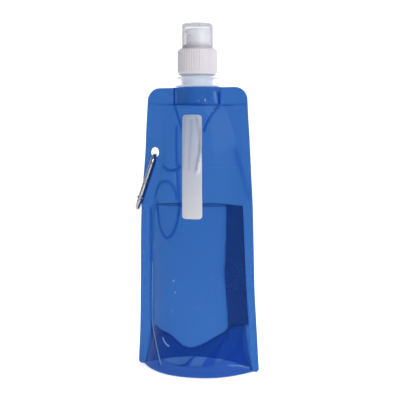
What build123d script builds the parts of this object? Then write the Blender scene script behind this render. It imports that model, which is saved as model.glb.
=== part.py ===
"""A folding drinking bottle: a film pouch with a moulded spout, a push-pull sports cap and a carabiner.

Millimetres, +Z up. The bottle stands on the rim of its pouch at Z 0, its printed front faces -Y, and the
spout's axis is the Z axis. The pouch is two film panels sealed together down both sides and across the top,
with a third film folded in as its foot. The films are cut at the crease where the upper part folds back.
"""
from build123d import *
import os
from math import atan2, cos, hypot, pi, radians, sin, tan

# ---- Driving dimensions ---------------------------------------------------------------------------

FILM = 0.4  # thickness of one film
SEAL_GAP = 0.03  # half the gap left between the two films of a seal
FOOT_SEAL = 0.05  # gap left between the foot film and the panel it is sealed to
WELD_GAP = 0.08  # gap left between the spout's welded base and the films
FOLD_HEIGHT = 149.0  # the crease where the upper part folds back
POUCH_HEIGHT = 223.0
CORNER_RADIUS = 9.5  # the pouch's two upper corners
FOOT_CORNER_RADIUS = 2.5

# Cross-sections of the pouch: height, outer half width left and right, pocket half width left and right
# (inside the side seals), half depth, and the two powers that shape the pocket's outline. The second lays
# the film down gently on the seal where it is more than 1.
SECTIONS = [
    (0.0, 49.7, 50.2, 45.0, 45.5, 28.0, 2.4, 1.0),
    (30.0, 48.3, 48.4, 40.0, 43.0, 28.4, 2.3, 1.0),
    (66.0, 47.6, 46.3, 38.8, 40.4, 26.8, 2.2, 1.0),
    (106.0, 47.2, 45.2, 38.2, 38.4, 23.2, 2.1, 1.0),
    (132.0, 46.4, 44.4, 37.0, 37.2, 20.5, 2.0, 1.0),
    (152.0, 44.8, 43.3, 32.0, 35.0, 18.3, 2.0, 1.02),
    (172.0, 43.1, 42.2, 29.4, 32.8, 15.8, 2.0, 1.05),
    (188.0, 42.3, 41.3, 28.2, 29.8, 13.9, 2.0, 1.15),
    (200.0, 41.6, 40.5, 25.0, 25.6, 12.9, 2.0, 1.3),
    (209.3, 41.0, 40.0, 21.6, 21.6, 12.7, 2.0, 1.4),
    (223.0, 40.2, 39.3, 21.6, 21.6, 12.7, 2.0, 1.4),
]
PROFILE_POINTS = 17  # points on one pocket profile, closer together near the seals

# The hole punched through the left side seal for the carabiner.
HOLE_X, HOLE_Z = -34.9, 172.4
HOLE_HALF_WIDTH, HOLE_HALF_HEIGHT = 3.3, 4.1

# The foot: a film that lies low across the middle and rises to its fold at both side seals.
FOOT_LOW, FOOT_HIGH, FOOT_REACH, FOOT_POWER = 8.0, 37.0, 40.5, 4.0

# Spout: the welded base, two flanges and the threaded neck, all round the Z axis.
WELD_LOW, WELD_TIP = 209.3, 19.0  # underside of the welded base, and half its length
BORE_R, NECK_R = 10.7, 12.5
NECK_TOP = 249.9
LOWER_FLANGE_Z, LOWER_FLANGE_R = 223.4, 17.2
UPPER_FLANGE_Z, UPPER_FLANGE_R = 229.6, 16.3
FLANGE = 1.1

# Thread: one start, right-handed. The cap rises by the lead for each turn.
LEAD = 4.0
NECK_THREAD_R, NECK_THREAD_LOW, NECK_THREAD_TURNS = 13.5, 235.2, 2.5
CAP_THREAD_R, CAP_THREAD_LOW, CAP_THREAD_TURNS = 12.9, 237.0, 2.0
THREAD_BASE, THREAD_CREST = 1.3, 0.6  # widths of a thread ridge at its root and its crest

# Screw cap with its liner, and the tower that the nozzle slides on.
CAP_LOW, CAP_HIGH = 232.7, 252.4
CAP_R, CAP_RIB, CAP_RIBS = 15.1, 0.28, 48
CAP_INSIDE_R, CAP_TOP = 13.85, 1.4
LINER_R, LINER_HOLE_R = 12.4, 8.6
BOSS_R, BOSS_INSIDE_R, BOSS_HIGH = 11.25, 10.1, 255.4
TOWER_R, TOWER_INSIDE_R, TOWER_HIGH = 7.2, 5.7, 262.0
PLUG_R, PLUG_HIGH = 2.5, 267.0
BEAD_R, BEAD_LOW, BEAD = 7.55, 258.5, 0.8
FLOW_HOLE_R, FLOW_HOLES = 1.15, 4

# Push-pull nozzle and clear dust cap.
NOZZLE_LOW, NOZZLE_HIGH, NOZZLE_R, NOZZLE_LIP_R = 252.6, 267.5, 9.0, 9.65
NOZZLE_BORE_R, NOZZLE_ROOF, OUTLET_R = 7.3, 2.2, 2.6
NOZZLE_TRAVEL = 3.2
DUST_LOW, DUST_HIGH, DUST_R_LOW, DUST_R_HIGH, DUST_WALL = 252.5, 271.6, 12.3, 11.95, 0.8

# Carabiner: a rod ring through the hole, hanging beside the pouch's edge.
ROD_R = 1.7
HANG_Z = HOLE_Z - HOLE_HALF_HEIGHT + ROD_R + 0.1  # the rod's centre, just clear of the hole's lower edge
HANG_TILT = radians(18.5)  # outwards from straight down
HANG_TURN = radians(11.0)  # the ring's plane, turned from the Y axis
BOW_R = 7.6  # centreline radius of both ends
SPAN = 29.4  # straight length between the two ends
GATE_R, GATE_GAP = 1.75, 0.3  # the gate's radius, and its gap to the frame at both ends
GATE_TOP, PIVOT = 19.5, 35.0  # distances down the ring from the rod's centre at its top
CATCH = 21.7  # the nose pin's distance
TANG, FORK = 1.4, 1.7  # thickness of the frame's flattened ends, and width of the gate's slots
NOSE_END = 23.4
TANG_HALF = 1.2  # half width of the hinge tang, whose square end works as the gate's cam
PIN_R, PIN_CLEARANCE = 0.6, 0.05
PIN_HEAD_R, PIN_HALF_LENGTH = 0.95, 2.35
PLUNGER_R, PLUNGER_BALL, PLUNGER_LENGTH = 0.74, 0.5, 1.6
PLUNGER_LOW = PIVOT - TANG_HALF - 0.12  # the gap lets it ride with the gate past the cam's corner
SPRING_BORE_R, SPRING_TOP = 0.8, 26.0
SPRING_R, SPRING_WIRE_R, SPRING_TURNS = 0.6, 0.12, 11


# ---- Film pouch -----------------------------------------------------------------------------------


def pocket(section, inset=0.0):
    """Points of the pocket's half outline at one section, from left to right, as (x, depth)."""
    _, _, _, left, right, depth, power, round_off = section
    points = []
    for i in range(PROFILE_POINTS):
        u = -cos(pi * i / (PROFILE_POINTS - 1))
        reach = (left if u < 0 else right) - inset
        points.append((u * reach, (depth - inset) * (1 - abs(u) ** power) ** round_off))
    return points


def pushed_out(points, distance):
    """The same outline moved outwards by a film's thickness."""
    out = []
    for i, (x, y) in enumerate(points):
        before, after = points[max(i - 1, 0)], points[min(i + 1, len(points) - 1)]
        along_x, along_y = after[0] - before[0], after[1] - before[1]
        length = hypot(along_x, along_y)
        normal_x, normal_y = -along_y / length, along_x / length
        if i in (0, len(points) - 1):
            half_turn = atan2(abs(along_y), along_x) / 2
            side = -1 if i == 0 else 1
            out.append((x + side * distance * tan(half_turn), distance))
        else:
            out.append((x + normal_x * distance, y + normal_y * distance))
    return out


def film_wire(section):
    """The closed thin outline of the front film at one height."""
    z, left_edge, right_edge = section[:3]
    inner = pocket(section)
    outer = pushed_out(inner, FILM)
    place = lambda points: [Vector(x, -SEAL_GAP - depth, z) for x, depth in points]
    inner, outer = place(inner), place(outer)
    ends = place([(-left_edge, 0), (-left_edge, FILM), (right_edge, FILM), (right_edge, 0)])
    return Wire([
        Edge.make_line(ends[0], ends[1]),
        Edge.make_line(ends[1], outer[0]),
        Edge.make_spline(outer),
        Edge.make_line(outer[-1], ends[2]),
        Edge.make_line(ends[2], ends[3]),
        Edge.make_line(ends[3], inner[-1]),
        Edge.make_spline(inner[::-1]),
        Edge.make_line(inner[0], ends[0]),
    ])


def pocket_volume(inset):
    """The space between the two films, taken in by inset all round."""
    wires = []
    for section in SECTIONS:
        z = section[0]
        front = [Vector(x, -depth, z) for x, depth in pocket(section, inset)]
        back = [Vector(x, depth, z) for x, depth in pocket(section, inset)][::-1]
        wires.append(Wire([Edge.make_spline(front), Edge.make_spline(back)]))
    return Solid.make_loft(wires)


def slab(low, high):
    return Pos(0, 0, (low + high) / 2) * Box(200, 200, high - low)


def corner_offcut(x, z, side, up, radius):
    """What a rounded corner takes away: the corner at x, z of the panel's edge."""
    deep = 100
    middle = 2 - radius / 2
    square = Box(radius + 4, deep, radius + 4)
    round_part = Rot(90, 0, 0) * Cylinder(radius, deep + 2)
    return (
        Pos(x + side * middle, 0, z + up * middle) * square
        - Pos(x - side * radius, 0, z - up * radius) * round_part
    )


def panel_outline():
    """The cut shape of a panel seen from the front, with its rounded corners and the punched hole."""
    keep = Pos(0, 0, POUCH_HEIGHT / 2) * Box(120, 90, POUCH_HEIGHT)
    top, bottom = SECTIONS[-1], SECTIONS[0]
    for side, edge in ((-1, 1), (1, 2)):
        keep -= corner_offcut(side * top[edge], POUCH_HEIGHT, side, 1, CORNER_RADIUS)
        keep -= corner_offcut(side * bottom[edge], 0, side, -1, FOOT_CORNER_RADIUS)
    oval = Plane.XZ * Pos(HOLE_X, HOLE_Z) * Ellipse(HOLE_HALF_WIDTH, HOLE_HALF_HEIGHT)
    return keep - extrude(oval, 30, both=True)


def make_films():
    """The front and back films, each cut at the crease."""
    front = Solid.make_loft([film_wire(s) for s in SECTIONS]) & panel_outline()
    back = front.mirror(Plane.XZ)
    films = {}
    for name, film in (("front", front), ("back", back)):
        films[f"{name}_film_upper"] = film & slab(FOLD_HEIGHT, POUCH_HEIGHT + 1)
        films[f"{name}_film_lower"] = film & slab(-1, FOLD_HEIGHT)
    return films


def foot_region(drop):
    """Everything under the foot's sagging line, drop below it."""
    rise = FOOT_HIGH - FOOT_LOW
    line = [
        Vector(x, 0, FOOT_LOW - drop + rise * (abs(x) / FOOT_REACH) ** FOOT_POWER)
        for x in (-47, -FOOT_REACH, -35, -28, -20, -10, 0, 10, 20, 28, 35, FOOT_REACH, 47)
    ]
    left, right = Vector(line[0].X, 0, -5), Vector(line[-1].X, 0, -5)
    wire = Wire([
        Edge.make_spline(line),
        Edge.make_line(line[-1], right),
        Edge.make_line(right, left),
        Edge.make_line(left, line[0]),
    ])
    return extrude(Face(wire), 40, dir=(0, 1, 0), both=True)


def make_foot():
    """The folded foot film: flanges sealed inside both panels, and the web that holds the water."""
    plug = pocket_volume(FOOT_SEAL) & foot_region(0) & slab(-1, FOOT_HIGH + 4)
    core = pocket_volume(FOOT_SEAL + FILM) & foot_region(FILM)
    return plug - core


# ---- Spout ----------------------------------------------------------------------------------------


def thread(root_r, crest_r, low, turns, start_angle):
    """A helical ridge from its root radius to its crest, sunk a little into the wall behind it."""
    sunk_r = root_r - (0.3 if crest_r > root_r else -0.3)
    path = Edge.make_helix(LEAD, LEAD * turns, root_r)
    profile = Face(Wire.make_polygon([
        (sunk_r, 0, -THREAD_BASE / 2),
        (crest_r, 0, -THREAD_CREST / 2),
        (crest_r, 0, THREAD_CREST / 2),
        (sunk_r, 0, THREAD_BASE / 2),
    ]))
    ridge = Solid.sweep(profile, path, is_frenet=True)
    return Pos(0, 0, low) * Rot(0, 0, start_angle) * ridge


def flange(z, radius):
    """A thin round flange with a sharp, bevelled rim."""
    rim = FLANGE * 0.35
    bevel = (FLANGE - rim) / 2
    off_middle = rim / 2 + bevel / 2
    return Pos(0, 0, z + FLANGE / 2) * (
        Cylinder(radius, rim)
        + Pos(0, 0, off_middle) * Cone(radius, radius - 2.2, bevel)
        + Pos(0, 0, -off_middle) * Cone(radius - 2.2, radius, bevel)
    )


def tube(outer, inner, low, high):
    return Pos(0, 0, (low + high) / 2) * (Cylinder(outer, high - low) - Cylinder(inner, high - low))


def solid_rod(radius, low, high):
    return Pos(0, 0, (low + high) / 2) * Cylinder(radius, high - low)


def make_spout():
    """The welded base, the flanges and the threaded neck: one moulding with the filling bore through it."""
    weld = pocket_volume(WELD_GAP) & slab(WELD_LOW, POUCH_HEIGHT) & Pos(0, 0, WELD_LOW) * Box(
        2 * WELD_TIP, 60, 60
    )
    body = weld + solid_rod(NECK_R, POUCH_HEIGHT - 2, NECK_TOP)
    body += flange(LOWER_FLANGE_Z, LOWER_FLANGE_R)
    body += flange(UPPER_FLANGE_Z, UPPER_FLANGE_R)
    body -= solid_rod(BORE_R, WELD_LOW - 1, NECK_TOP + 1)
    return body + thread(NECK_R, NECK_THREAD_R, NECK_THREAD_LOW, NECK_THREAD_TURNS, 0)


# ---- Cap ------------------------------------------------------------------------------------------


def make_liner():
    """The soft washer between the cap and the neck's rim."""
    low, high = NECK_TOP + 0.02, CAP_HIGH - CAP_TOP - 0.02
    return tube(LINER_R, LINER_HOLE_R, low, high)


def make_cap():
    """The ribbed screw cap, with the boss for the dust cap and the tower and plug of the drinking valve."""
    height = CAP_HIGH - CAP_LOW
    ribs = PolarLocations(CAP_R - 0.15, CAP_RIBS) * Cylinder(CAP_RIB + 0.15, height - 3.6)
    shell = Cylinder(CAP_R, height) + [rib for rib in ribs]
    shell = Pos(0, 0, CAP_LOW + height / 2) * shell
    top_edge = Pos(0, 0, CAP_HIGH - 0.6) * (Cylinder(CAP_R + 1, 1.2) - Cone(CAP_R + 0.05, CAP_R - 1.1, 1.2))
    low_edge = Pos(0, 0, CAP_LOW + 0.9) * (Cylinder(CAP_R + 1, 1.8) - Cone(CAP_R - 0.9, CAP_R + 0.05, 1.8))
    shell -= top_edge + low_edge
    shell -= solid_rod(CAP_INSIDE_R, CAP_LOW - 1, CAP_HIGH - CAP_TOP)
    shell += tube(BOSS_R, BOSS_INSIDE_R, CAP_HIGH - 0.5, BOSS_HIGH)
    shell += solid_rod(TOWER_R, CAP_HIGH - CAP_TOP, TOWER_HIGH)
    shell += solid_rod(PLUG_R, TOWER_HIGH - 0.5, PLUG_HIGH)
    shell += Pos(0, 0, BEAD_LOW + BEAD / 2) * (Cylinder(BEAD_R, BEAD) - Cylinder(TOWER_R - 0.5, BEAD))
    shell -= solid_rod(TOWER_INSIDE_R, CAP_HIGH - CAP_TOP - 1, TOWER_HIGH - 1.2)
    hole_ring = (PLUG_R + TOWER_INSIDE_R) / 2
    for place in PolarLocations(hole_ring, FLOW_HOLES):
        shell -= Pos(0, 0, TOWER_HIGH - 0.6) * place * Cylinder(FLOW_HOLE_R, 4)
    # The cap's ridge runs midway between the neck's ridges.
    midway = 360 * ((CAP_THREAD_LOW - NECK_THREAD_LOW) / LEAD - 0.5)
    return shell + thread(CAP_INSIDE_R, CAP_THREAD_R, CAP_THREAD_LOW, CAP_THREAD_TURNS, midway)


def make_nozzle():
    """The push-pull nozzle in its closed position, its outlet filled by the cap's plug."""
    body = solid_rod(NOZZLE_R, NOZZLE_LOW, NOZZLE_HIGH)
    lip = Pos(0, 0, NOZZLE_HIGH - 1.2) * Cylinder(NOZZLE_LIP_R, 2.4)
    lip += Pos(0, 0, NOZZLE_HIGH - 2.4 - 0.6) * Cone(NOZZLE_R, NOZZLE_LIP_R, 1.2)
    lip = chamfer(lip.edges().sort_by(Axis.Z)[-1], 0.7)
    body = body - Pos(0, 0, NOZZLE_HIGH - 1) * Cylinder(NOZZLE_R + 1, 2.1) + lip
    body -= solid_rod(NOZZLE_BORE_R, NOZZLE_LOW - 1, NOZZLE_HIGH - NOZZLE_ROOF)
    body -= solid_rod(BEAD_R + 0.15, BEAD_LOW - NOZZLE_TRAVEL - 0.1, BEAD_LOW + BEAD + 0.1)
    return body - solid_rod(OUTLET_R, NOZZLE_HIGH - 3, NOZZLE_HIGH + 1)


def make_dust_cap():
    """The clear cover, a tapered cup pushed over the cap's boss."""
    height = DUST_HIGH - DUST_LOW
    outer = Pos(0, 0, DUST_LOW + height / 2) * Cone(DUST_R_LOW, DUST_R_HIGH, height)
    outer = fillet(outer.edges().sort_by(Axis.Z)[-1], 1.2)
    hollow = height - DUST_WALL
    inner = Pos(0, 0, DUST_LOW + hollow / 2) * Cone(
        DUST_R_LOW - DUST_WALL, DUST_R_HIGH - DUST_WALL + 0.02, hollow
    )
    inner = fillet(inner.edges().sort_by(Axis.Z)[-1], 0.6)
    return outer - inner


# ---- Carabiner ------------------------------------------------------------------------------------
# Built flat: X across the ring (the gate at -X), Y up the ring towards the hole, Z through it. The origin
# is the rod's centre at the top of the ring, which lies in the hole.


def hung(shape):
    """Turns a piece of the flat carabiner to hang from the hole."""
    across = Vector(-sin(HANG_TURN), cos(HANG_TURN), 0)
    outwards = Vector(-cos(HANG_TURN), -sin(HANG_TURN), 0)
    up = outwards * -sin(HANG_TILT) + Vector(0, 0, cos(HANG_TILT))
    return Plane(origin=(HOLE_X, 0, HANG_Z), x_dir=across, z_dir=across.cross(up)) * shape


def gate_side(y, shape):
    """Places a shape on the gate's side of the ring, at a distance down from its top."""
    return Pos(-BOW_R, -y, 0) * shape


def upright(radius, low, high):
    """A rod along the gate's side, between two distances down from the ring's top."""
    return gate_side((low + high) / 2, Rot(90, 0, 0) * Cylinder(radius, high - low))


def make_frame_ring():
    """The rod ring, with a notched flat nose and a flat hinge tang at the ends of its gap."""
    nose_y, low_end = -(GATE_TOP - GATE_GAP), -(PIVOT + GATE_R + GATE_GAP)
    bottom = -BOW_R - SPAN
    path = Wire([
        Edge.make_line((-BOW_R, nose_y, 0), (-BOW_R, -BOW_R, 0)),
        Edge.make_three_point_arc((-BOW_R, -BOW_R, 0), (0, 0, 0), (BOW_R, -BOW_R, 0)),
        Edge.make_line((BOW_R, -BOW_R, 0), (BOW_R, bottom, 0)),
        Edge.make_three_point_arc((BOW_R, bottom, 0), (0, bottom - BOW_R, 0), (-BOW_R, bottom, 0)),
        Edge.make_line((-BOW_R, bottom, 0), (-BOW_R, low_end, 0)),
    ])
    start = Plane(origin=(-BOW_R, nose_y, 0), z_dir=(0, 1, 0))
    ring = Solid.sweep(Face(Wire(start * Edge.make_circle(ROD_R))), path)
    nose_length = NOSE_END - GATE_TOP + 1
    nose = gate_side(NOSE_END - nose_length / 2, Box(2.8, nose_length, TANG))
    notch = gate_side(CATCH, Pos(1, 0, 0) * Box(2, 1.6, 4) + Cylinder(0.8, 4))
    tang_high, tang_low = PIVOT - TANG_HALF, -low_end + 0.5
    tang = gate_side((tang_high + tang_low) / 2, Box(2 * TANG_HALF, tang_low - tang_high, TANG))
    return ring + (nose - notch) + tang - gate_side(PIVOT, Cylinder(PIN_R, 6))


def make_gate():
    """The gate: a rod slotted at both ends over the frame's nose and tang, bored for its spring."""
    low = PIVOT + GATE_R
    gate = upright(GATE_R, GATE_TOP, low)
    gate &= upright(GATE_R + 1, GATE_TOP - 1, PIVOT) + gate_side(PIVOT, Cylinder(GATE_R, 6))
    nose_slot = NOSE_END + 0.4
    gate -= gate_side((GATE_TOP + nose_slot) / 2 - 1, Box(6, nose_slot - GATE_TOP + 2, FORK))
    tang_slot = PIVOT - hypot(TANG_HALF, TANG_HALF) - 0.2
    gate -= gate_side((tang_slot + low) / 2 + 1, Box(6, low - tang_slot + 2, FORK))
    gate -= upright(SPRING_BORE_R, SPRING_TOP, PIVOT)
    gate -= gate_side(PIVOT, Cylinder(PIN_R + PIN_CLEARANCE, 6))
    return gate - gate_side(CATCH, Cylinder(PIN_R, 6))


def make_hinge_pin():
    """The riveted hinge pin, fixed in the tang, with a domed head at each end."""
    pin = Cylinder(PIN_R, 2 * PIN_HALF_LENGTH)
    for side in (-1, 1):
        head = Cylinder(PIN_HEAD_R, 0.45)
        head = fillet(head.edges().sort_by(Axis.Z)[-1 if side > 0 else 0], 0.3)
        pin += Pos(0, 0, side * (PIN_HALF_LENGTH - 0.225)) * head
    return gate_side(PIVOT, pin)


def make_nose_pin():
    """The gate's cross pin, which closes into the nose's notch."""
    return gate_side(CATCH, Cylinder(PIN_R, 2 * GATE_R - 0.3))


def make_plunger():
    """The spring's plunger: a round nose on the tang's square end, and a shoulder for the spring."""
    ball = gate_side(PLUNGER_LOW - PLUNGER_BALL, Sphere(PLUNGER_BALL))
    neck = upright(PLUNGER_BALL, PLUNGER_LOW - 1.1, PLUNGER_LOW - PLUNGER_BALL)
    shoulder = upright(PLUNGER_R, PLUNGER_LOW - PLUNGER_LENGTH, PLUNGER_LOW - 1.0)
    return ball + neck + shoulder


def make_gate_spring():
    """The coil spring between the plunger's shoulder and the end of the gate's bore."""
    low = PLUNGER_LOW - PLUNGER_LENGTH - SPRING_WIRE_R - 0.02
    length = low - SPRING_TOP - SPRING_WIRE_R - 0.02
    path = Edge.make_helix(length / SPRING_TURNS, length, SPRING_R)
    start = Plane(origin=path @ 0, z_dir=path % 0)
    coil = Solid.sweep(Face(Wire(start * Edge.make_circle(SPRING_WIRE_R))), path, is_frenet=True)
    return gate_side(low, Rot(-90, 0, 0) * coil)


def main():
    os.makedirs("parts", exist_ok=True)
    parts = make_films()
    parts["foot_film"] = make_foot()
    parts["spout"] = make_spout()
    parts["cap_liner"] = make_liner()
    parts["screw_cap"] = make_cap()
    parts["drinking_nozzle"] = make_nozzle()
    parts["dust_cap"] = make_dust_cap()
    parts["carabiner_frame"] = hung(make_frame_ring())
    parts["carabiner_gate"] = hung(make_gate())
    parts["carabiner_hinge_pin"] = hung(make_hinge_pin())
    parts["carabiner_nose_pin"] = hung(make_nose_pin())
    parts["carabiner_plunger"] = hung(make_plunger())
    parts["carabiner_gate_spring"] = hung(make_gate_spring())
    for name, shape in parts.items():
        export_step(shape, f"parts/{name}.step")


if __name__ == "__main__":
    main()
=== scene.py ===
"""Looks of the folding drinking bottle: tinted film pouch, water, spout and cap, clear cover, carabiner.

Sizes are in millimetres in the shape functions and become metres where a mesh is made.
"""
from math import cos, exp, hypot, pi, radians, sin, sqrt
from random import Random

import bmesh
import bpy
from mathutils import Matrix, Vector, noise


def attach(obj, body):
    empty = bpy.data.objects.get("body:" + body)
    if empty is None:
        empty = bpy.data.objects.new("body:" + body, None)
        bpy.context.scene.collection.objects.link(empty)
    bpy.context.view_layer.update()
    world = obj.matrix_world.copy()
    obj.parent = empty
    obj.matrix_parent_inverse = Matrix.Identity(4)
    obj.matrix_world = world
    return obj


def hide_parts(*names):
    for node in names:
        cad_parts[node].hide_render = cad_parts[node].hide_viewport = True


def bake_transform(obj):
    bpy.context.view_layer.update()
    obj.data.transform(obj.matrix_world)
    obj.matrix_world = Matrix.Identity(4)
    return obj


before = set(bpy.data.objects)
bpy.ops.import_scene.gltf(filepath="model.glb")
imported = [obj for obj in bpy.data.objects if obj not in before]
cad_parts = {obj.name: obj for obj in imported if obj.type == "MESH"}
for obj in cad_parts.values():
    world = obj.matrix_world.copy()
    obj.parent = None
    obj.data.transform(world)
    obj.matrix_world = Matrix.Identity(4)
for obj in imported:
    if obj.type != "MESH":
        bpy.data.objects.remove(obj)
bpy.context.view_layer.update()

MM = 0.001

# ---- Driving dimensions of the pouch, as in the solids -------------------------------------------

POUCH_HEIGHT = 223.0
FOLD_HEIGHT = 149.0
CORNER_RADIUS = 9.5
FOOT_CORNER_RADIUS = 2.5
HOLE_X, HOLE_Z = -34.9, 172.4
HOLE_HALF_WIDTH, HOLE_HALF_HEIGHT = 3.3, 4.1
FILM = 0.3  # film thickness shown
GAP = 0.06  # half the gap between two sealed films
WATER_LEVEL = 131.0
FOOT_LOW, FOOT_HIGH, FOOT_REACH, FOOT_POWER = 8.0, 37.0, 40.5, 4.0
FOOT_LEVEL_SHARE = 1.1  # share of the reach past which the foot's seal stays level
BACK_VEE_SHIFT, BACK_VEE_POWER = 14, 1.6  # the back's vee: how far it is drawn left at the middle, and its power

# Height, outer half width left and right, pocket half width left and right, half depth, two shape powers.
SECTIONS = [
    (0.0, 49.7, 50.2, 45.0, 45.5, 28.0, 2.4, 1.0),
    (30.0, 48.3, 48.4, 40.0, 43.0, 28.4, 2.3, 1.0),
    (66.0, 47.6, 46.3, 38.8, 40.4, 26.8, 2.2, 1.0),
    (106.0, 47.2, 45.2, 38.2, 38.4, 23.2, 2.1, 1.0),
    (132.0, 46.4, 44.4, 37.0, 37.2, 20.5, 2.0, 1.0),
    (152.0, 44.8, 43.3, 32.0, 35.0, 18.3, 2.0, 1.02),
    (172.0, 43.1, 42.2, 29.4, 32.8, 15.8, 2.0, 1.05),
    (188.0, 42.3, 41.3, 28.2, 29.8, 13.9, 2.0, 1.15),
    (200.0, 41.6, 40.5, 25.0, 25.6, 12.9, 2.0, 1.3),
    (209.3, 41.0, 40.0, 21.6, 21.6, 12.7, 2.0, 1.4),
    (223.0, 40.2, 39.3, 21.6, 21.6, 12.7, 2.0, 1.4),
]


def section(z):
    """The pouch's cross-section values at any height, by a smooth curve through the listed ones."""
    z = min(max(z, 0.0), POUCH_HEIGHT)
    i = 0
    while i < len(SECTIONS) - 2 and z > SECTIONS[i + 1][0]:
        i += 1
    a, b = SECTIONS[i], SECTIONS[i + 1]
    before, after = SECTIONS[max(i - 1, 0)], SECTIONS[min(i + 2, len(SECTIONS) - 1)]
    span = b[0] - a[0]
    t = (z - a[0]) / span
    values = []
    for k in range(1, len(a)):
        slope_a = (b[k] - before[k]) / (b[0] - before[0]) * span
        slope_b = (after[k] - a[k]) / (after[0] - a[0]) * span
        values.append(
            (2 * t**3 - 3 * t**2 + 1) * a[k]
            + (t**3 - 2 * t**2 + t) * slope_a
            + (3 * t**2 - 2 * t**3) * b[k]
            + (t**3 - t**2) * slope_b
        )
    return values


def pocket_depth(x, z):
    """How far the film stands from the pouch's middle plane."""
    _, _, left, right, depth, power, round_off = section(z)
    share = abs(x) / (left if x < 0 else right)
    return depth * (1 - share**power) ** round_off if share < 1 else 0.0


def edge_x(z, side):
    """Where the panel's side edge lies at a height, with its rounded corners. side is -1 left, 1 right."""
    reach = section(z)[0 if side < 0 else 1]
    over = z - (POUCH_HEIGHT - CORNER_RADIUS)
    if over > 0:
        reach -= CORNER_RADIUS - sqrt(max(CORNER_RADIUS**2 - over**2, 0))
    under = FOOT_CORNER_RADIUS - z
    if under > 0:
        reach -= FOOT_CORNER_RADIUS - sqrt(max(FOOT_CORNER_RADIUS**2 - under**2, 0))
    return side * reach


def smooth(t):
    t = min(max(t, 0.0), 1.0)
    return t * t * (3 - 2 * t)


def foot_line(x, side=-1):
    """Height of the foot film's seal on a panel. The back's is a vee, lowest left of the middle."""
    if side < 0:
        return FOOT_LOW + (FOOT_HIGH - FOOT_LOW) * min(abs(x) / FOOT_REACH, FOOT_LEVEL_SHARE) ** FOOT_POWER
    share = abs(x + BACK_VEE_SHIFT * (1 - min(x / FOOT_REACH, 1) ** 2)) / FOOT_REACH
    return FOOT_LOW + (FOOT_HIGH - FOOT_LOW) * min(share, FOOT_LEVEL_SHARE) ** BACK_VEE_POWER


# ---- Dents and creases of the film ---------------------------------------------------------------


def crease(x, z, start, end, width, height):
    """A folded ridge along a line: sharp on the line, fading over width and beyond its ends."""
    ax, az = start
    dx, dz = end[0] - ax, end[1] - az
    length = hypot(dx, dz)
    along = ((x - ax) * dx + (z - az) * dz) / length
    across = abs((x - ax) * dz - (z - az) * dx) / length
    if across > 4 * width:
        return 0.0
    past = max(-along, along - length, 0.0)
    return height * exp(-across / width) * exp(-((past / (2 * width)) ** 2))


def dent(x, z, centre, half_size, turn, depth, rim=0.7):
    """A pushed-in oval with a flat floor and a soft rim."""
    c, s = cos(turn), sin(turn)
    dx, dz = x - centre[0], z - centre[1]
    q = hypot((dx * c + dz * s) / half_size[0], (dz * c - dx * s) / half_size[1])
    return -depth * smooth((1 - q) / (1 - rim)) if q < 1 else 0.0


def stroke(start, end, bow=0.0):
    """Points along a stroke whose middle stands off the straight line by its bow."""
    dx, dz = end[0] - start[0], end[1] - start[1]
    points = []
    for i in range(9):
        t = i / 8
        off = 4 * bow * t * (1 - t) / hypot(dx, dz)
        points.append((start[0] + dx * t - dz * off, start[1] + dz * t + dx * off))
    return points


def arch(centre, half_width, rise):
    """Points along an arch over its centre, or along a U under it where rise is negative."""
    angles = [pi * i / 12 for i in range(13)]
    return [(centre[0] - half_width * cos(angle), centre[1] + rise * sin(angle)) for angle in angles]


SIDE_FOLD_X, SIDE_FOLD_SLANT = 38.5, 0.42


def side_fold(low, high, inset=0.0):
    """Points down the fold beside the left seal, which slants in where it reaches the foot."""
    heights = [high + (low - high) * i / 12 for i in range(13)]
    return [(inset - SIDE_FOLD_X + SIDE_FOLD_SLANT * max(FOOT_HIGH - z, 0.0), z) for z in heights]


WELD_LINE_Z = 209.5  # lower edge of the weld round the spout's base
SHOULDER_X = 18.0  # half width of that weld
SHOULDER_END = (8.5, 189.0)  # where the folds that run in from the weld's corners end
RIGHT_FOLD = stroke((31, 175), (41, 138))

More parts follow.
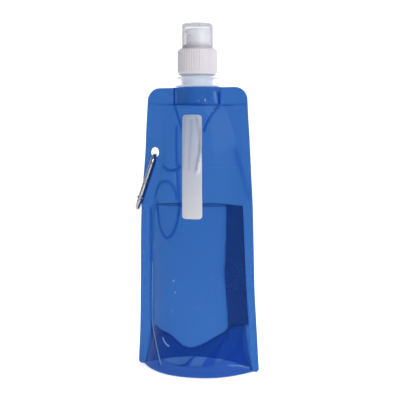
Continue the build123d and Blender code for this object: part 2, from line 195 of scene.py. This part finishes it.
FRONT_CREASES = [  # start, end, half width, height: ridges where positive
    ((6, 200), (5, 172), 1.3, -1.0),
    ((8, 176), (4, 158), 1.2, 1.0),
    ((-9, 190), (-11, 166), 1.2, 0.35),
    (RIGHT_FOLD[0], RIGHT_FOLD[-1], 1.6, 0.4),
]
FRONT_RIDGES = [  # half width, height, points
    (0.9, 0.5, side_fold(7, 100, 2.0)),
    (0.9, 0.5, stroke((-22, 28), (-16, 23), -1.0)),
    (1.1, 0.45, stroke((31, 26), (43, 9))),
]
FRONT_DENTS = [  # centre, half size, turn, depth
    ((-23, 112), (10, 24), radians(8), 0.3),
    ((26, 150), (9, 30), radians(-8), 0.3),
]
CREASES_AND_PAINTED_LIGHT = [  # half width, strength, points: lines of the front film, raised where positive; the film's colour takes painted shade along them where positive and a painted highlight where negative
    (0.8, 1.0, stroke((-SHOULDER_X, 222), (-SHOULDER_X, WELD_LINE_Z))),
    (0.8, 1.0, stroke((SHOULDER_X, 219), (SHOULDER_X, WELD_LINE_Z))),
    (0.9, 0.9, stroke((-SHOULDER_X, WELD_LINE_Z), (-SHOULDER_END[0], SHOULDER_END[1]), 0.6)),
    (0.9, 0.9, stroke((SHOULDER_X, WELD_LINE_Z), SHOULDER_END, -0.6)),
    (0.7, 0.8, stroke((-24, WELD_LINE_Z + 0.5), (27, WELD_LINE_Z - 0.5), -0.3)),
    (0.7, 0.3, stroke((-38, WELD_LINE_Z + 1), (-24, WELD_LINE_Z + 0.5))),
    (0.7, 0.3, stroke((27, WELD_LINE_Z - 0.5), (38, WELD_LINE_Z))),
    (1.2, 0.8, arch((-18, 162), 8, -3.5)),
    (1.1, 0.6, arch((-23, 137), 11, 13)),
    (1.1, 0.8, arch((-20, 133), 11, -27)),
    (1.3, 0.6, stroke((-14, 192), (-9, 133), -1.0)),
    (1.0, 0.8, side_fold(6, 127)),
    (2.0, 0.35, RIGHT_FOLD),
    (0.6, -0.55, stroke((-SHOULDER_X + 2, 221), (-SHOULDER_X + 2, WELD_LINE_Z + 1))),
    (1.3, -0.4, stroke((SHOULDER_X - 3, 219), (SHOULDER_X - 2, WELD_LINE_Z + 2))),
    (0.8, -0.7, side_fold(7, 84, 2.0)),
    (0.7, -0.8, stroke((-22, 28), (-16, 23), -1.0)),
    (0.7, -0.5, stroke((30, 9), (43, 4), 0.6)),
    (0.8, -0.3, stroke((-14, 183), (-13, 148))),
]
STRIP_PAINTED_REFLECTIONS = [  # painted reflections on the writing strip, as streaks: half width, strength, points, dark where positive and light where negative
    (1.1, 1.0, stroke((3, 199), (4, 160), 1.8)),
    (0.8, 0.6, stroke((-7, 199), (-7, 160))),
    (1.2, 0.6, stroke((-1, 197), (-2, 160))),
    (1.3, -0.9, stroke((7, 174), (6, 158))),
]


def line_strength(x, z, lines):
    """The strongest of the lines at a point of the front, fading over each line's half width."""
    most = 0.0
    for half_width, strength, points in lines:
        far = 2.5 * half_width
        for (ax, az), (bx, bz) in zip(points, points[1:]):
            if not (min(ax, bx) - far < x < max(ax, bx) + far and min(az, bz) - far < z < max(az, bz) + far):
                continue
            dx, dz = bx - ax, bz - az
            along = min(max(((x - ax) * dx + (z - az) * dz) / (dx * dx + dz * dz), 0.0), 1.0)
            away = hypot(x - ax - along * dx, z - az - along * dz)
            most = max(most, strength * exp(-((away / half_width) ** 2)), key=abs)
    return most


SWELL, FINE_SWELL = 0.7, 0.15  # heights of the film's broad and fine unevenness
SWELL_ACROSS, SWELL_UP = 34, 52  # size of the broad unevenness
SEAL_HOLD = 6  # how far in from a side seal the film is held flat
LINE_RISE = 0.3  # how far a line of full strength stands out of the pouch
SEAL_WAVE, SEAL_WAVE_LENGTH = 0.15, 7.3  # height of the side seals' waves, and their length over 2 pi


def panel_relief(x, z, front):
    """Displacement of a panel, out of the pouch where positive."""
    _, _, left, right = section(z)[:4]
    inside = min(x + left, right - x)
    hold = smooth(inside / SEAL_HOLD)
    seed = Vector((x / SWELL_ACROSS, z / SWELL_UP, 3.7 if front else 9.1))
    relief = SWELL * noise.noise(seed) + FINE_SWELL * noise.noise(seed * 3.1)
    if front:
        relief += sum(crease(x, z, *each) for each in FRONT_CREASES)
        relief += sum(dent(x, z, *each) for each in FRONT_DENTS)
    else:
        relief += sum(0.8 * crease(-x, z, *each) for each in FRONT_CREASES[2:])
    # Where the panel wraps the spout's welded base it is held.
    welded = smooth((z - 206) / 3) * smooth((24 - abs(x)) / 4)
    relief *= hold * (1 - welded)
    if front:
        relief += LINE_RISE * line_strength(x, z, CREASES_AND_PAINTED_LIGHT) + line_strength(x, z, FRONT_RIDGES)
    # Shallow waves along the side seals.
    phase = z / SEAL_WAVE_LENGTH + (0 if front else 1.7)
    relief += SEAL_WAVE * (1 - hold) * sin(phase) * smooth((213 - z) / 10)
    return relief


# ---- Mesh making ---------------------------------------------------------------------------------


def finish_mesh(name, bm, material, body=None, smooth_faces=True):
    """Makes the object of a finished bmesh that is in metres, and lets it ride on a body."""
    mesh = bpy.data.meshes.new(name)
    for face in bm.faces:
        face.smooth = smooth_faces
    bm.to_mesh(mesh)
    bm.free()
    piece = bpy.data.objects.new(name, mesh)
    bpy.context.scene.collection.objects.link(piece)
    mesh.materials.append(material)
    if body:
        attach(piece, body)
    return piece


def grid(columns, rows, place):
    """A grid whose points are placed by a function of its two shares, 0 to 1."""
    bm = bmesh.new()
    bmesh.ops.create_grid(bm, x_segments=columns, y_segments=rows, size=0.5)
    for vert in bm.verts:
        vert.co = Vector(place(vert.co.x + 0.5, vert.co.y + 0.5)) * MM
    return bm


def panel_height(share):
    """Rows of a panel, closer together at its rounded corners."""
    low, high = 0.02, 0.95
    if share < low:
        return FOOT_CORNER_RADIUS * (1 - cos(pi / 2 * share / low))
    if share > high:
        return POUCH_HEIGHT - CORNER_RADIUS * (1 - sin(pi / 2 * (share - high) / (1 - high)))
    middle = (share - low) / (high - low)
    return FOOT_CORNER_RADIUS + middle * (POUCH_HEIGHT - CORNER_RADIUS - FOOT_CORNER_RADIUS)


SEAL_SHARE = 0.07  # share of a panel's columns in each side seal


def panel_place(u, v, side, lift=0.0):
    """A point of a panel's inner face, side -1 front or 1 back, lifted outwards."""
    z = panel_height(v)
    _, _, left, right = section(z)[:4]
    if u < SEAL_SHARE:
        x = edge_x(z, -1) + (-left - edge_x(z, -1)) * u / SEAL_SHARE
    elif u > 1 - SEAL_SHARE:
        x = right + (edge_x(z, 1) - right) * (u - 1 + SEAL_SHARE) / SEAL_SHARE
    else:
        x = -left + (left + right) * (u - SEAL_SHARE) / (1 - 2 * SEAL_SHARE)
    depth = GAP + pocket_depth(x, z) + panel_relief(x, z, side < 0) + lift
    return x, side * max(depth, GAP + lift), z


def punch_hole(bm):
    """Removes the film inside the carabiner's hole and draws its edge onto the oval."""
    centre = Vector((HOLE_X, 0, HOLE_Z)) * MM

    def share(co):
        return hypot((co.x - centre.x) / (HOLE_HALF_WIDTH * MM), (co.z - centre.z) / (HOLE_HALF_HEIGHT * MM))

    inner = [face for face in bm.faces if sum(share(v.co) < 1 for v in face.verts) > len(face.verts) // 2]
    rim = {v for face in inner for v in face.verts}
    bmesh.ops.delete(bm, geom=inner, context="FACES")
    for vert in rim:
        if vert.is_valid:
            s = share(vert.co)
            vert.co.x = centre.x + (vert.co.x - centre.x) / s
            vert.co.z = centre.z + (vert.co.z - centre.z) / s


def film_panel(name, side, material):
    """One whole panel with its thickness, reaching across the fold."""
    bm = grid(118, 270, lambda u, v: panel_place(u, v, side))
    punch_hole(bm)
    bmesh.ops.recalc_face_normals(bm, faces=bm.faces)
    facing = sum(face.normal.y * face.calc_area() for face in bm.faces)
    if facing * side < 0:
        bmesh.ops.reverse_faces(bm, faces=bm.faces)
    bmesh.ops.solidify(bm, geom=bm.faces, thickness=-FILM * MM)
    fold = bm.verts.layers.float.new("fold")
    # The fold attribute carries the front film's painted light: painted shade where positive, painted highlight
    # where negative.
    if side < 0:
        for vert in bm.verts:
            vert[fold] = line_strength(vert.co.x / MM, vert.co.z / MM, CREASES_AND_PAINTED_LIGHT)
    piece = finish_mesh(name, bm, material)
    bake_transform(piece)
    return piece


def loop_parts(v, counts):
    """Splits a share of a loop into its part's number and the share of that part."""
    at = v * sum(counts)
    for i, count in enumerate(counts):
        if at <= count or i == len(counts) - 1:
            return i, min(at / count, 1.0)
        at -= count


FOOT_FOLDS = [  # ridges and valleys of the foot film: start, end, half width, height
    ((-31, -22), (-25, 16), 15, 7.0),
    ((20, -22), (27, 14), 17, 7.0),
    ((-16, -18), (-4, 10), 9, 4.0),
    ((2, -20), (14, 6), 9, 4.5),
    ((-6, -24), (-4, 24), 5, -2.0),
]


def folds_height(x, y):
    """What the folds add to the foot film's height: tents along their lines, fading past the lines' ends."""
    height = 0.0
    for (ax, ay), (bx, by), half_width, rise in FOOT_FOLDS:
        dx, dy = bx - ax, by - ay
        length = hypot(dx, dy)
        along = ((x - ax) * dx + (y - ay) * dy) / length
        from_line = abs((x - ax) * dy - (y - ay) * dx) / length
        past = max(-along, along - length, 0.0)
        height += rise * max(0.0, 1 - from_line / half_width) * exp(-((past / 6) ** 2))
    return height


FLANGE_PAINTED_SHADE = 0.6  # painted shade on the foot film's flanges, where they lie sealed on the panels


def painted_facet_shade(x, y):
    """Painted shade of the foot film: 1 on the web's faces that rise to the right, 0 on those that fall, between
    the two on the flanges.
    """
    slope = folds_height(x + 0.5, y) - folds_height(x - 0.5, y)
    on_web = smooth((pocket_depth(x, foot_line(x)) - abs(y) - 1.0) / 2)
    return FLANGE_PAINTED_SHADE * (1 - on_web) + on_web * smooth((slope - 0.08) / 0.12)


def web_height(x, y):
    """Height of the foot film's web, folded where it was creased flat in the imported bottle."""
    reach = max(pocket_depth(x, foot_line(x)), 1.0)
    across = min(max((y + reach) / (2 * reach), 0.0), 1.0)
    height = foot_line(x, -1) + (foot_line(x, 1) - foot_line(x, -1)) * across
    held = smooth(across / 0.2) * smooth((1 - across) / 0.2) * smooth((38 - abs(x)) / 8)
    return max(height + held * folds_height(x, y), 1.0)


FOOT_SPAN = 0.93  # share of its reach that the foot film covers
FOOT_ROWS = (14, 60, 14)  # rows of faces on the front flange, the web and the back flange


def foot_place(u, v):
    """A point of the foot film: up the front panel, over the web and down the back panel."""
    part, share = loop_parts(v, FOOT_ROWS)
    t = (2 * u - 1) * FOOT_SPAN
    if part == 1:
        x = t * FOOT_REACH
        reach = max(pocket_depth(x, foot_line(x)) - FILM - GAP, 0.1)
        y = reach * (2 * share - 1)
        return x, y, web_height(x, y)
    side = -1 if part == 0 else 1
    top = foot_line(t * FOOT_REACH, side)
    up = share if part == 0 else 1 - share
    z = 0.4 + (top - 0.4) * up
    _, _, left, right = section(z)[:4]
    x = t * (FOOT_REACH * up + ((left if t < 0 else right) - 0.5) / FOOT_SPAN * (1 - up))
    depth = GAP + pocket_depth(x, z) + panel_relief(x, z, side < 0) - FILM - 0.05
    return x, side * max(depth, 0.1), z


def make_foot(material):
    bm = grid(86, sum(FOOT_ROWS), foot_place)
    bmesh.ops.recalc_face_normals(bm, faces=bm.faces)
    if sum(face.normal.z * face.calc_area() for face in bm.faces) < 0:
        bmesh.ops.reverse_faces(bm, faces=bm.faces)
    bmesh.ops.solidify(bm, geom=bm.faces, thickness=FILM / 2 * MM)
    # The foot's fold attribute is painted shade: darker on the facets that rise to the right and on the flanges.
    fold = bm.verts.layers.float.new("fold")
    for vert in bm.verts:
        vert[fold] = painted_facet_shade(vert.co.x / MM, vert.co.y / MM)
    piece = finish_mesh("foot", bm, material, "pouch_base")
    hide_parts("foot_film")
    return piece


WATER_INSET = 0.35  # gap between the water and the film round it
WATER_SIDE_GAP = 0.6  # gap between the water and the side seals
WATER_ROWS = (100, 24, 100, 40)  # rows of faces up the front, over the top, down the back and over the foot


def water_place(u, v):
    """A point of the water's skin: up the front, across its level surface, down the back, over the foot."""
    part, share = loop_parts(v, WATER_ROWS)
    t = 2 * u - 1

    def ends(z):
        _, _, left, right = section(z)[:4]
        return (left if t < 0 else right) - WATER_SIDE_GAP

    start_x = t * (ends(40.0) - 1)

    def wall(side, share_up):
        low = foot_line(start_x, side) + WATER_INSET
        z = low + (WATER_LEVEL - low) * share_up
        x = t * ends(z)
        full = pocket_depth(x * (1 + WATER_SIDE_GAP / ends(z)), z)
        taper = smooth((1 - abs(t)) / 0.12)
        y = max(full + taper * (panel_relief(x, z, side < 0) - WATER_INSET), 0.0)
        return x, side * y, z

    if part == 0:
        return wall(-1, share)
    if part == 2:
        return wall(1, 1 - share)
    up = 1 if part == 1 else 0
    x, front_y, front_z = wall(-1, up)
    _, back_y, back_z = wall(1, up)
    across = share if part == 1 else 1 - share
    y = front_y + (back_y - front_y) * across
    if part == 1:
        return x, y, WATER_LEVEL
    held = smooth(across / 0.12) * smooth((1 - across) / 0.12)
    straight = front_z + (back_z - front_z) * across
    return x, y, straight + held * (web_height(x, y) + WATER_INSET - straight)


def make_water(material, foot_material):
    bm = grid(96, sum(WATER_ROWS), water_place)
    bmesh.ops.remove_doubles(bm, verts=bm.verts, dist=0.02 * MM)
    bmesh.ops.recalc_face_normals(bm, faces=bm.faces)
    for face in bm.faces:
        if face.normal.z < -0.5:
            face.material_index = 1
    piece = finish_mesh("water", bm, material, "pouch_base")
    piece.data.materials.append(foot_material)


STRIP_LOW, STRIP_HIGH, STRIP_HALF, STRIP_RADIUS = 122.0, 201.6, 7.9, 2.6
STRIP_FOOT_X, STRIP_LEAN = 1.5, -2.7  # the strip's middle at its foot, and how far it leans by its top
STRIP_EASE = 0.012  # draws the strip's rows together at its rounded corners
INK_THICKNESS = 0.06


def strip_place(u, v):
    """A point of the writing strip on the front panel: a bar with rounded corners, a little aslant."""
    z = STRIP_LOW + (STRIP_HIGH - STRIP_LOW) * v
    from_end = min(z - STRIP_LOW, STRIP_HIGH - z)
    half = STRIP_HALF
    if from_end < STRIP_RADIUS:
        half -= STRIP_RADIUS - sqrt(STRIP_RADIUS**2 - (STRIP_RADIUS - from_end) ** 2)
    centre = STRIP_FOOT_X + STRIP_LEAN * v
    x = centre + half * (2 * u - 1)
    y = -(GAP + pocket_depth(x, z) + panel_relief(x, z, True) + FILM + 0.04)
    return x, y, z


def make_strip(material):
    bm = grid(20, 110, lambda u, v: strip_place(u, v - STRIP_EASE * sin(2 * pi * v)))
    bmesh.ops.recalc_face_normals(bm, faces=bm.faces)
    if sum(face.normal.y * face.calc_area() for face in bm.faces) > 0:
        bmesh.ops.reverse_faces(bm, faces=bm.faces)
    bmesh.ops.solidify(bm, geom=bm.faces, thickness=-INK_THICKNESS * MM)
    # Painted reflections of the film's creases on the strip, stored per point.
    painted_reflection_streak = bm.verts.layers.float.new("painted_reflection_streak")
    for vert in bm.verts:
        vert[painted_reflection_streak] = line_strength(vert.co.x / MM, vert.co.z / MM, STRIP_PAINTED_REFLECTIONS)
    piece = finish_mesh("writing_strip", bm, material)
    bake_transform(piece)
    return piece


# ---- Materials -----------------------------------------------------------------------------------


def srgb(code):
    """The linear colour of an sRGB hex value."""
    channels = [int(code[i:i + 2], 16) / 255 for i in (0, 2, 4)]
    return [c / 12.92 if c <= 0.04045 else ((c + 0.055) / 1.055) ** 2.4 for c in channels] + [1.0]


def new_material(name):
    material = bpy.data.materials.new(name)
    material.use_nodes = True
    material.node_tree.nodes.clear()
    return material, material.node_tree


def add(tree, kind, inputs=(), **settings):
    """Adds a node with its settings, its values and its links."""
    node = tree.nodes.new(kind)
    for key, value in settings.items():
        setattr(node, key, value)
    for key, value in dict(inputs).items():
        if isinstance(value, bpy.types.NodeSocket):
            tree.links.new(value, node.inputs[key])
        else:
            node.inputs[key].default_value = value
    return node


def edge_on(tree, power):
    """0 where a surface is seen square on, rising to 1 where it is seen edge on, alike on both its sides."""
    weight = add(tree, "ShaderNodeLayerWeight", {"Blend": 0.5})
    return add(tree, "ShaderNodeMath", {0: weight.outputs["Facing"], 1: power}, operation="POWER").outputs[0]


def film_material(name, tint, painted_shade_tint, least):
    """Blue-tinted laminate film, heat sealed: clear enough to show what is behind, with a wet gloss."""
    material, tree = new_material(name)
    # The fold attribute carries painted light: where positive it darkens the see-through tint as painted shade
    # of creases, seals and foot facets.
    fold = add(tree, "ShaderNodeAttribute", attribute_name="fold").outputs["Fac"]
    dark = add(tree, "ShaderNodeMapRange", {"Value": fold, "From Min": 0.0, "From Max": 1.0})
    shade = add(tree, "ShaderNodeMix", {
        "Factor": dark.outputs[0], 6: srgb(tint), 7: srgb(painted_shade_tint),
    }, data_type="RGBA")
    clear = add(tree, "ShaderNodeBsdfTransparent", {"Color": shade.outputs[2]})
    # Painted highlight: where the fold attribute is negative the film takes a lighter colour and a larger share
    # of its body, standing in for a sharp fold's highlight.
    white = add(tree, "ShaderNodeMapRange", {"Value": fold, "From Min": 0.0, "From Max": -1.0})
    colour = add(tree, "ShaderNodeMix", {
        "Factor": white.outputs[0], 6: srgb("1E66B8"), 7: srgb("A8D8F8"),
    }, data_type="RGBA")
    body = add(tree, "ShaderNodeBsdfPrincipled", {
        "Base Color": colour.outputs[2], "Roughness": 0.2, "IOR": 1.45, "Specular IOR Level": 0.35,
    })
    share = add(tree, "ShaderNodeMapRange", {"Value": edge_on(tree, 4.0), "To Min": least, "To Max": 0.85})
    share = add(tree, "ShaderNodeMath", {0: share.outputs[0], 1: white.outputs[0]}, operation="MAXIMUM")
    mixed = add(tree, "ShaderNodeMixShader", {
        "Fac": share.outputs[0], 1: clear.outputs[0], 2: body.outputs[0],
    })
    add(tree, "ShaderNodeOutputMaterial", {"Surface": mixed.outputs[0]})
    return material


def water_material():
    """Still drinking water: clear, but its far skin is painted dark navy where seen aslant, a painted reflection
    standing in for total reflection.
    """
    material, tree = new_material("still water")
    clear = add(tree, "ShaderNodeBsdfTransparent", {"Color": srgb("FCFDFE")})
    # The dark navy body is a painted reflection: it stands in for the dark surroundings that total reflection
    # would show.
    painted_dark_reflection = add(tree, "ShaderNodeBsdfPrincipled", {
        "Base Color": srgb("6A0890"), "Roughness": 1.0, "Specular IOR Level": 0.0,
    })
    # The Fresnel weight from inside reaches 1 near the critical angle of water. Light goes straight in here,
    # so the angle is taken a little smaller.
    weight = add(tree, "ShaderNodeLayerWeight", {"Blend": 0.29})
    share = add(tree, "ShaderNodeMapRange", {
        "Value": weight.outputs["Fresnel"], "To Min": 0.0, "To Max": 0.92,
    })
    mixed = add(tree, "ShaderNodeMixShader", {
        "Fac": share.outputs[0], 1: clear.outputs[0], 2: painted_dark_reflection.outputs[0],
    })
    add(tree, "ShaderNodeOutputMaterial", {"Surface": mixed.outputs[0]})
    return material


def foot_water_material():
    """The water's lower skin on the foot film: clear, with a blue cast where it is seen aslant."""
    material, tree = new_material("still water over the foot")
    shade = add(tree, "ShaderNodeMix", {
        "Factor": edge_on(tree, 1.5), 6: srgb("FCFDFE"), 7: srgb("CAD8F2"),
    }, data_type="RGBA")
    clear = add(tree, "ShaderNodeBsdfTransparent", {"Color": shade.outputs[2]})
    add(tree, "ShaderNodeOutputMaterial", {"Surface": clear.outputs[0]})
    return material


def strip_material():
    """White writing ink, screen printed: matt, letting a little of the blue behind through, and greyer and bluer
    towards its top.
    """
    material, tree = new_material("screen-printed white ink")
    at = add(tree, "ShaderNodeSeparateXYZ", {0: add(tree, "ShaderNodeTexCoord").outputs["Object"]})
    height = add(tree, "ShaderNodeMapRange", {
        "Value": at.outputs["Z"], "From Min": STRIP_LOW * MM, "From Max": STRIP_HIGH * MM,
    })
    colour = add(tree, "ShaderNodeMix", {
        "Factor": height.outputs[0], 6: srgb("D6D6DC"), 7: srgb("A8B4CC"),
    }, data_type="RGBA")
    # Painted reflection: darker streaks and a lighter patch, standing in for reflections of the film's creases.
    painted_reflection_streak = add(tree, "ShaderNodeAttribute", attribute_name="painted_reflection_streak").outputs["Fac"]
    level = add(tree, "ShaderNodeMapRange", {
        "Value": painted_reflection_streak, "From Min": -1.0, "From Max": 1.0, "To Min": 1.25, "To Max": 0.7,
    })
    shade = add(tree, "ShaderNodeVectorMath", {
        0: colour.outputs[2], 1: level.outputs[0],
    }, operation="MULTIPLY")
    ink = add(tree, "ShaderNodeBsdfPrincipled", {
        "Base Color": shade.outputs[0], "Roughness": 0.45, "IOR": 1.48,
    })
    clear = add(tree, "ShaderNodeBsdfTransparent", {"Color": srgb("E8EEF8")})
    mixed = add(tree, "ShaderNodeMixShader", {"Fac": 0.85, 1: clear.outputs[0], 2: ink.outputs[0]})
    add(tree, "ShaderNodeOutputMaterial", {"Surface": mixed.outputs[0]})
    return material


def plain_plastic(name, colour, roughness, mottle=0.02):
    """A moulded plastic: one colour with the faintest flow shading, about 4 mm across."""
    material, tree = new_material(name)
    where = add(tree, "ShaderNodeTexCoord").outputs["Object"]
    flow = add(tree, "ShaderNodeTexNoise", {"Vector": where, "Scale": 250.0, "Detail": 2.0})
    level = add(tree, "ShaderNodeMapRange", {
        "Value": flow.outputs["Fac"], "From Min": 0.3, "From Max": 0.7,
        "To Min": 1 - mottle, "To Max": 1 + mottle,
    })
    shade = add(tree, "ShaderNodeVectorMath", {
        0: srgb(colour)[:3], 1: level.outputs[0],
    }, operation="MULTIPLY")
    body = add(tree, "ShaderNodeBsdfPrincipled", {
        "Base Color": shade.outputs[0], "Roughness": roughness, "IOR": 1.49,
    })
    add(tree, "ShaderNodeOutputMaterial", {"Surface": body.outputs[0]})
    return material


def see_through(name, tint, edge_tint, colour, roughness, least, most):
    """A see-through moulding: tinted, darker where it is seen edge on, and glossy."""
    material, tree = new_material(name)
    shade = add(tree, "ShaderNodeMix", {
        "Factor": edge_on(tree, 2.0), 6: srgb(tint), 7: srgb(edge_tint),
    }, data_type="RGBA")
    clear = add(tree, "ShaderNodeBsdfTransparent", {"Color": shade.outputs[2]})
    gloss = add(tree, "ShaderNodeBsdfPrincipled", {
        "Base Color": srgb(colour), "Roughness": roughness, "IOR": 1.5,
    })
    share = add(tree, "ShaderNodeMapRange", {"Value": edge_on(tree, 4.0), "To Min": least, "To Max": most})
    mixed = add(tree, "ShaderNodeMixShader", {
        "Fac": share.outputs[0], 1: clear.outputs[0], 2: gloss.outputs[0],
    })
    add(tree, "ShaderNodeOutputMaterial", {"Surface": mixed.outputs[0]})
    return material


def polished_metal(name, colour, roughness):
    """Tumbled and polished metal: nearly a mirror, with fine handling haze about 1.5 mm across."""
    material, tree = new_material(name)
    where = add(tree, "ShaderNodeTexCoord").outputs["Object"]
    haze = add(tree, "ShaderNodeTexNoise", {"Vector": where, "Scale": 700.0, "Detail": 3.0})
    rough = add(tree, "ShaderNodeMapRange", {
        "Value": haze.outputs["Fac"], "From Min": 0.3, "From Max": 0.7,
        "To Min": roughness * 0.7, "To Max": roughness * 1.4,
    })
    body = add(tree, "ShaderNodeBsdfPrincipled", {
        "Base Color": srgb(colour), "Metallic": 1.0, "Roughness": rough.outputs[0],
    })
    add(tree, "ShaderNodeOutputMaterial", {"Surface": body.outputs[0]})
    return material


# ---- The pouch and what's in and on it -----------------------------------------------------------


BEAD_ZONES = [  # drops of water on the front film: count, left, right, low, high
    (4, 1, 18, 203, 221),
    (5, -14, 20, 24, 75),
]


def make_beads(material):
    """Small flattened drops standing on the front film, scattered in their zones."""
    chance = Random(11)
    places = []
    for count, left, right, low, high in BEAD_ZONES:
        for _ in range(count):
            places.append((chance.uniform(left, right), chance.uniform(low, high), chance.uniform(0.35, 0.6)))
    for i, (x, z, radius) in enumerate(places):
        bm = bmesh.new()
        bmesh.ops.create_uvsphere(bm, u_segments=20, v_segments=12, radius=radius * MM)
        bmesh.ops.scale(bm, vec=(1, 0.6, 1.15), verts=bm.verts)
        y = -(GAP + pocket_depth(x, z) + panel_relief(x, z, True) + FILM)
        bmesh.ops.translate(bm, vec=Vector((x, y, z)) * MM, verts=bm.verts)
        body = "pouch_top" if z > FOLD_HEIGHT else "pouch_base"
        finish_mesh(f"bead_{i + 1}", bm, material, body)


def give(material, *nodes):
    """Gives CAD pieces that are kept a better material."""
    for node in nodes:
        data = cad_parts[node].data
        data.materials.clear()
        data.materials.append(material)


# The third colour given to each film is the tint of its painted shade.
FILM_MATERIAL = film_material("tinted laminate film", "B7D2EC", "6C9CDC", 0.12)
front = film_panel("film_front", -1, FILM_MATERIAL)
back = film_panel("film_back", 1, FILM_MATERIAL)
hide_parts("front_film_lower", "front_film_upper")
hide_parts("back_film_lower", "back_film_upper")
make_foot(film_material("tinted laminate film, single ply", "DCE8F6", "A8BEEE", 0.08))
make_water(water_material(), foot_water_material())
make_strip(strip_material())
make_beads(see_through("water bead", "F4F8FC", "C8D8EC", "E8F0FA", 0.05, 0.3, 0.9))

# Low-density polyethylene, uncoloured: milky, a little see-through, with a soft sheen.
give(see_through("natural polyethylene", "F6F9FD", "DCE6F4", "EEF2F9", 0.3, 0.46, 0.85), "spout")
# Polypropylene, off-white: even satin, as it leaves a fine-textured mould.
give(plain_plastic("satin off-white polypropylene", "CBC7CD", 0.38), "screw_cap")
give(plain_plastic("satin white polypropylene", "E4E3E8", 0.32), "drinking_nozzle")
# Closed-cell polyethylene foam: matt, slightly uneven.
give(plain_plastic("closed-cell liner foam", "D6D8DC", 0.75, 0.05), "cap_liner")
# Polystyrene, injection moulded: clear and hard-edged, greyer where the wall is seen edge on.
give(see_through("clear polystyrene", "FBFBFC", "C0C0CA", "F0F0F6", 0.06, 0.04, 0.7), "dust_cap")
give(polished_metal("polished zinc alloy", "A4A2A8", 0.14), "carabiner_frame")
give(polished_metal("bright nickel plating", "B2B0B6", 0.1), "carabiner_gate")
give(
    polished_metal("plain steel", "8A888C", 0.25),
    "carabiner_hinge_pin", "carabiner_nose_pin", "carabiner_plunger", "carabiner_gate_spring",
)


# ---- Studio --------------------------------------------------------------------------------------


def make_camera():
    """Eye level with the upper half of the bottle, a little to its right, looking slightly down."""
    turn, pitch, distance, height = radians(15), radians(4.77), 600.0, 185.0
    data = bpy.data.cameras.new("camera")
    data.sensor_width = 36.0
    data.lens = 68.58
    data.shift_x = 0.0065
    camera = bpy.data.objects.new("camera", data)
    camera.location = Vector((distance * sin(turn), -distance * cos(turn), height)) * MM
    forward = Vector((-sin(turn) * cos(pitch), cos(turn) * cos(pitch), -sin(pitch)))
    camera.rotation_euler = forward.to_track_quat("-Z", "Y").to_euler()
    bpy.context.scene.collection.objects.link(camera)
    bpy.context.scene.camera = camera


def make_studio():
    """A plain pale floor, an even white surround and two soft lamps."""
    scene = bpy.context.scene
    scene.view_settings.view_transform = "Standard"
    scene.cycles.transparent_max_bounces = 32
    world = bpy.data.worlds.new("white surround")
    scene.world = world
    world.use_nodes = True
    tree = world.node_tree
    tree.nodes.clear()
    direction = add(tree, "ShaderNodeSeparateXYZ", {0: add(tree, "ShaderNodeTexCoord").outputs["Generated"]})
    bright = add(tree, "ShaderNodeMapRange", {
        "Value": direction.outputs["Y"], "From Min": 0.05, "From Max": 0.65, "To Min": 0.33, "To Max": 1.18,
    }, interpolation_type="SMOOTHSTEP")
    light = add(tree, "ShaderNodeBackground", {"Color": (1, 1, 1, 1), "Strength": bright.outputs[0]})
    add(tree, "ShaderNodeOutputWorld", {"Surface": light.outputs[0]})
    bm = bmesh.new()
    bmesh.ops.create_grid(bm, x_segments=1, y_segments=1, size=4.0)
    material, tree = new_material("lit white acrylic")
    surface = add(tree, "ShaderNodeBsdfPrincipled", {
        "Base Color": srgb("F4F4F4"), "Roughness": 0.8,
        "Emission Color": (1, 1, 1, 1), "Emission Strength": 0.62,
    })
    add(tree, "ShaderNodeOutputMaterial", {"Surface": surface.outputs[0]})
    finish_mesh("floor", bm, material)
    for name, place, size, watts in (
        ("key_lamp", (0.8, -0.55, 0.65), 0.6, 6),
        ("fill_lamp", (-0.8, -0.5, 0.6), 0.7, 0.4),
    ):
        data = bpy.data.lights.new(name, "AREA")
        data.size = size
        data.energy = watts
        lamp = bpy.data.objects.new(name, data)
        lamp.location = place
        lamp.rotation_euler = (Vector((0, 0, 0.13)) - Vector(place)).to_track_quat("-Z", "Y").to_euler()
        scene.collection.objects.link(lamp)


make_camera()
make_studio()
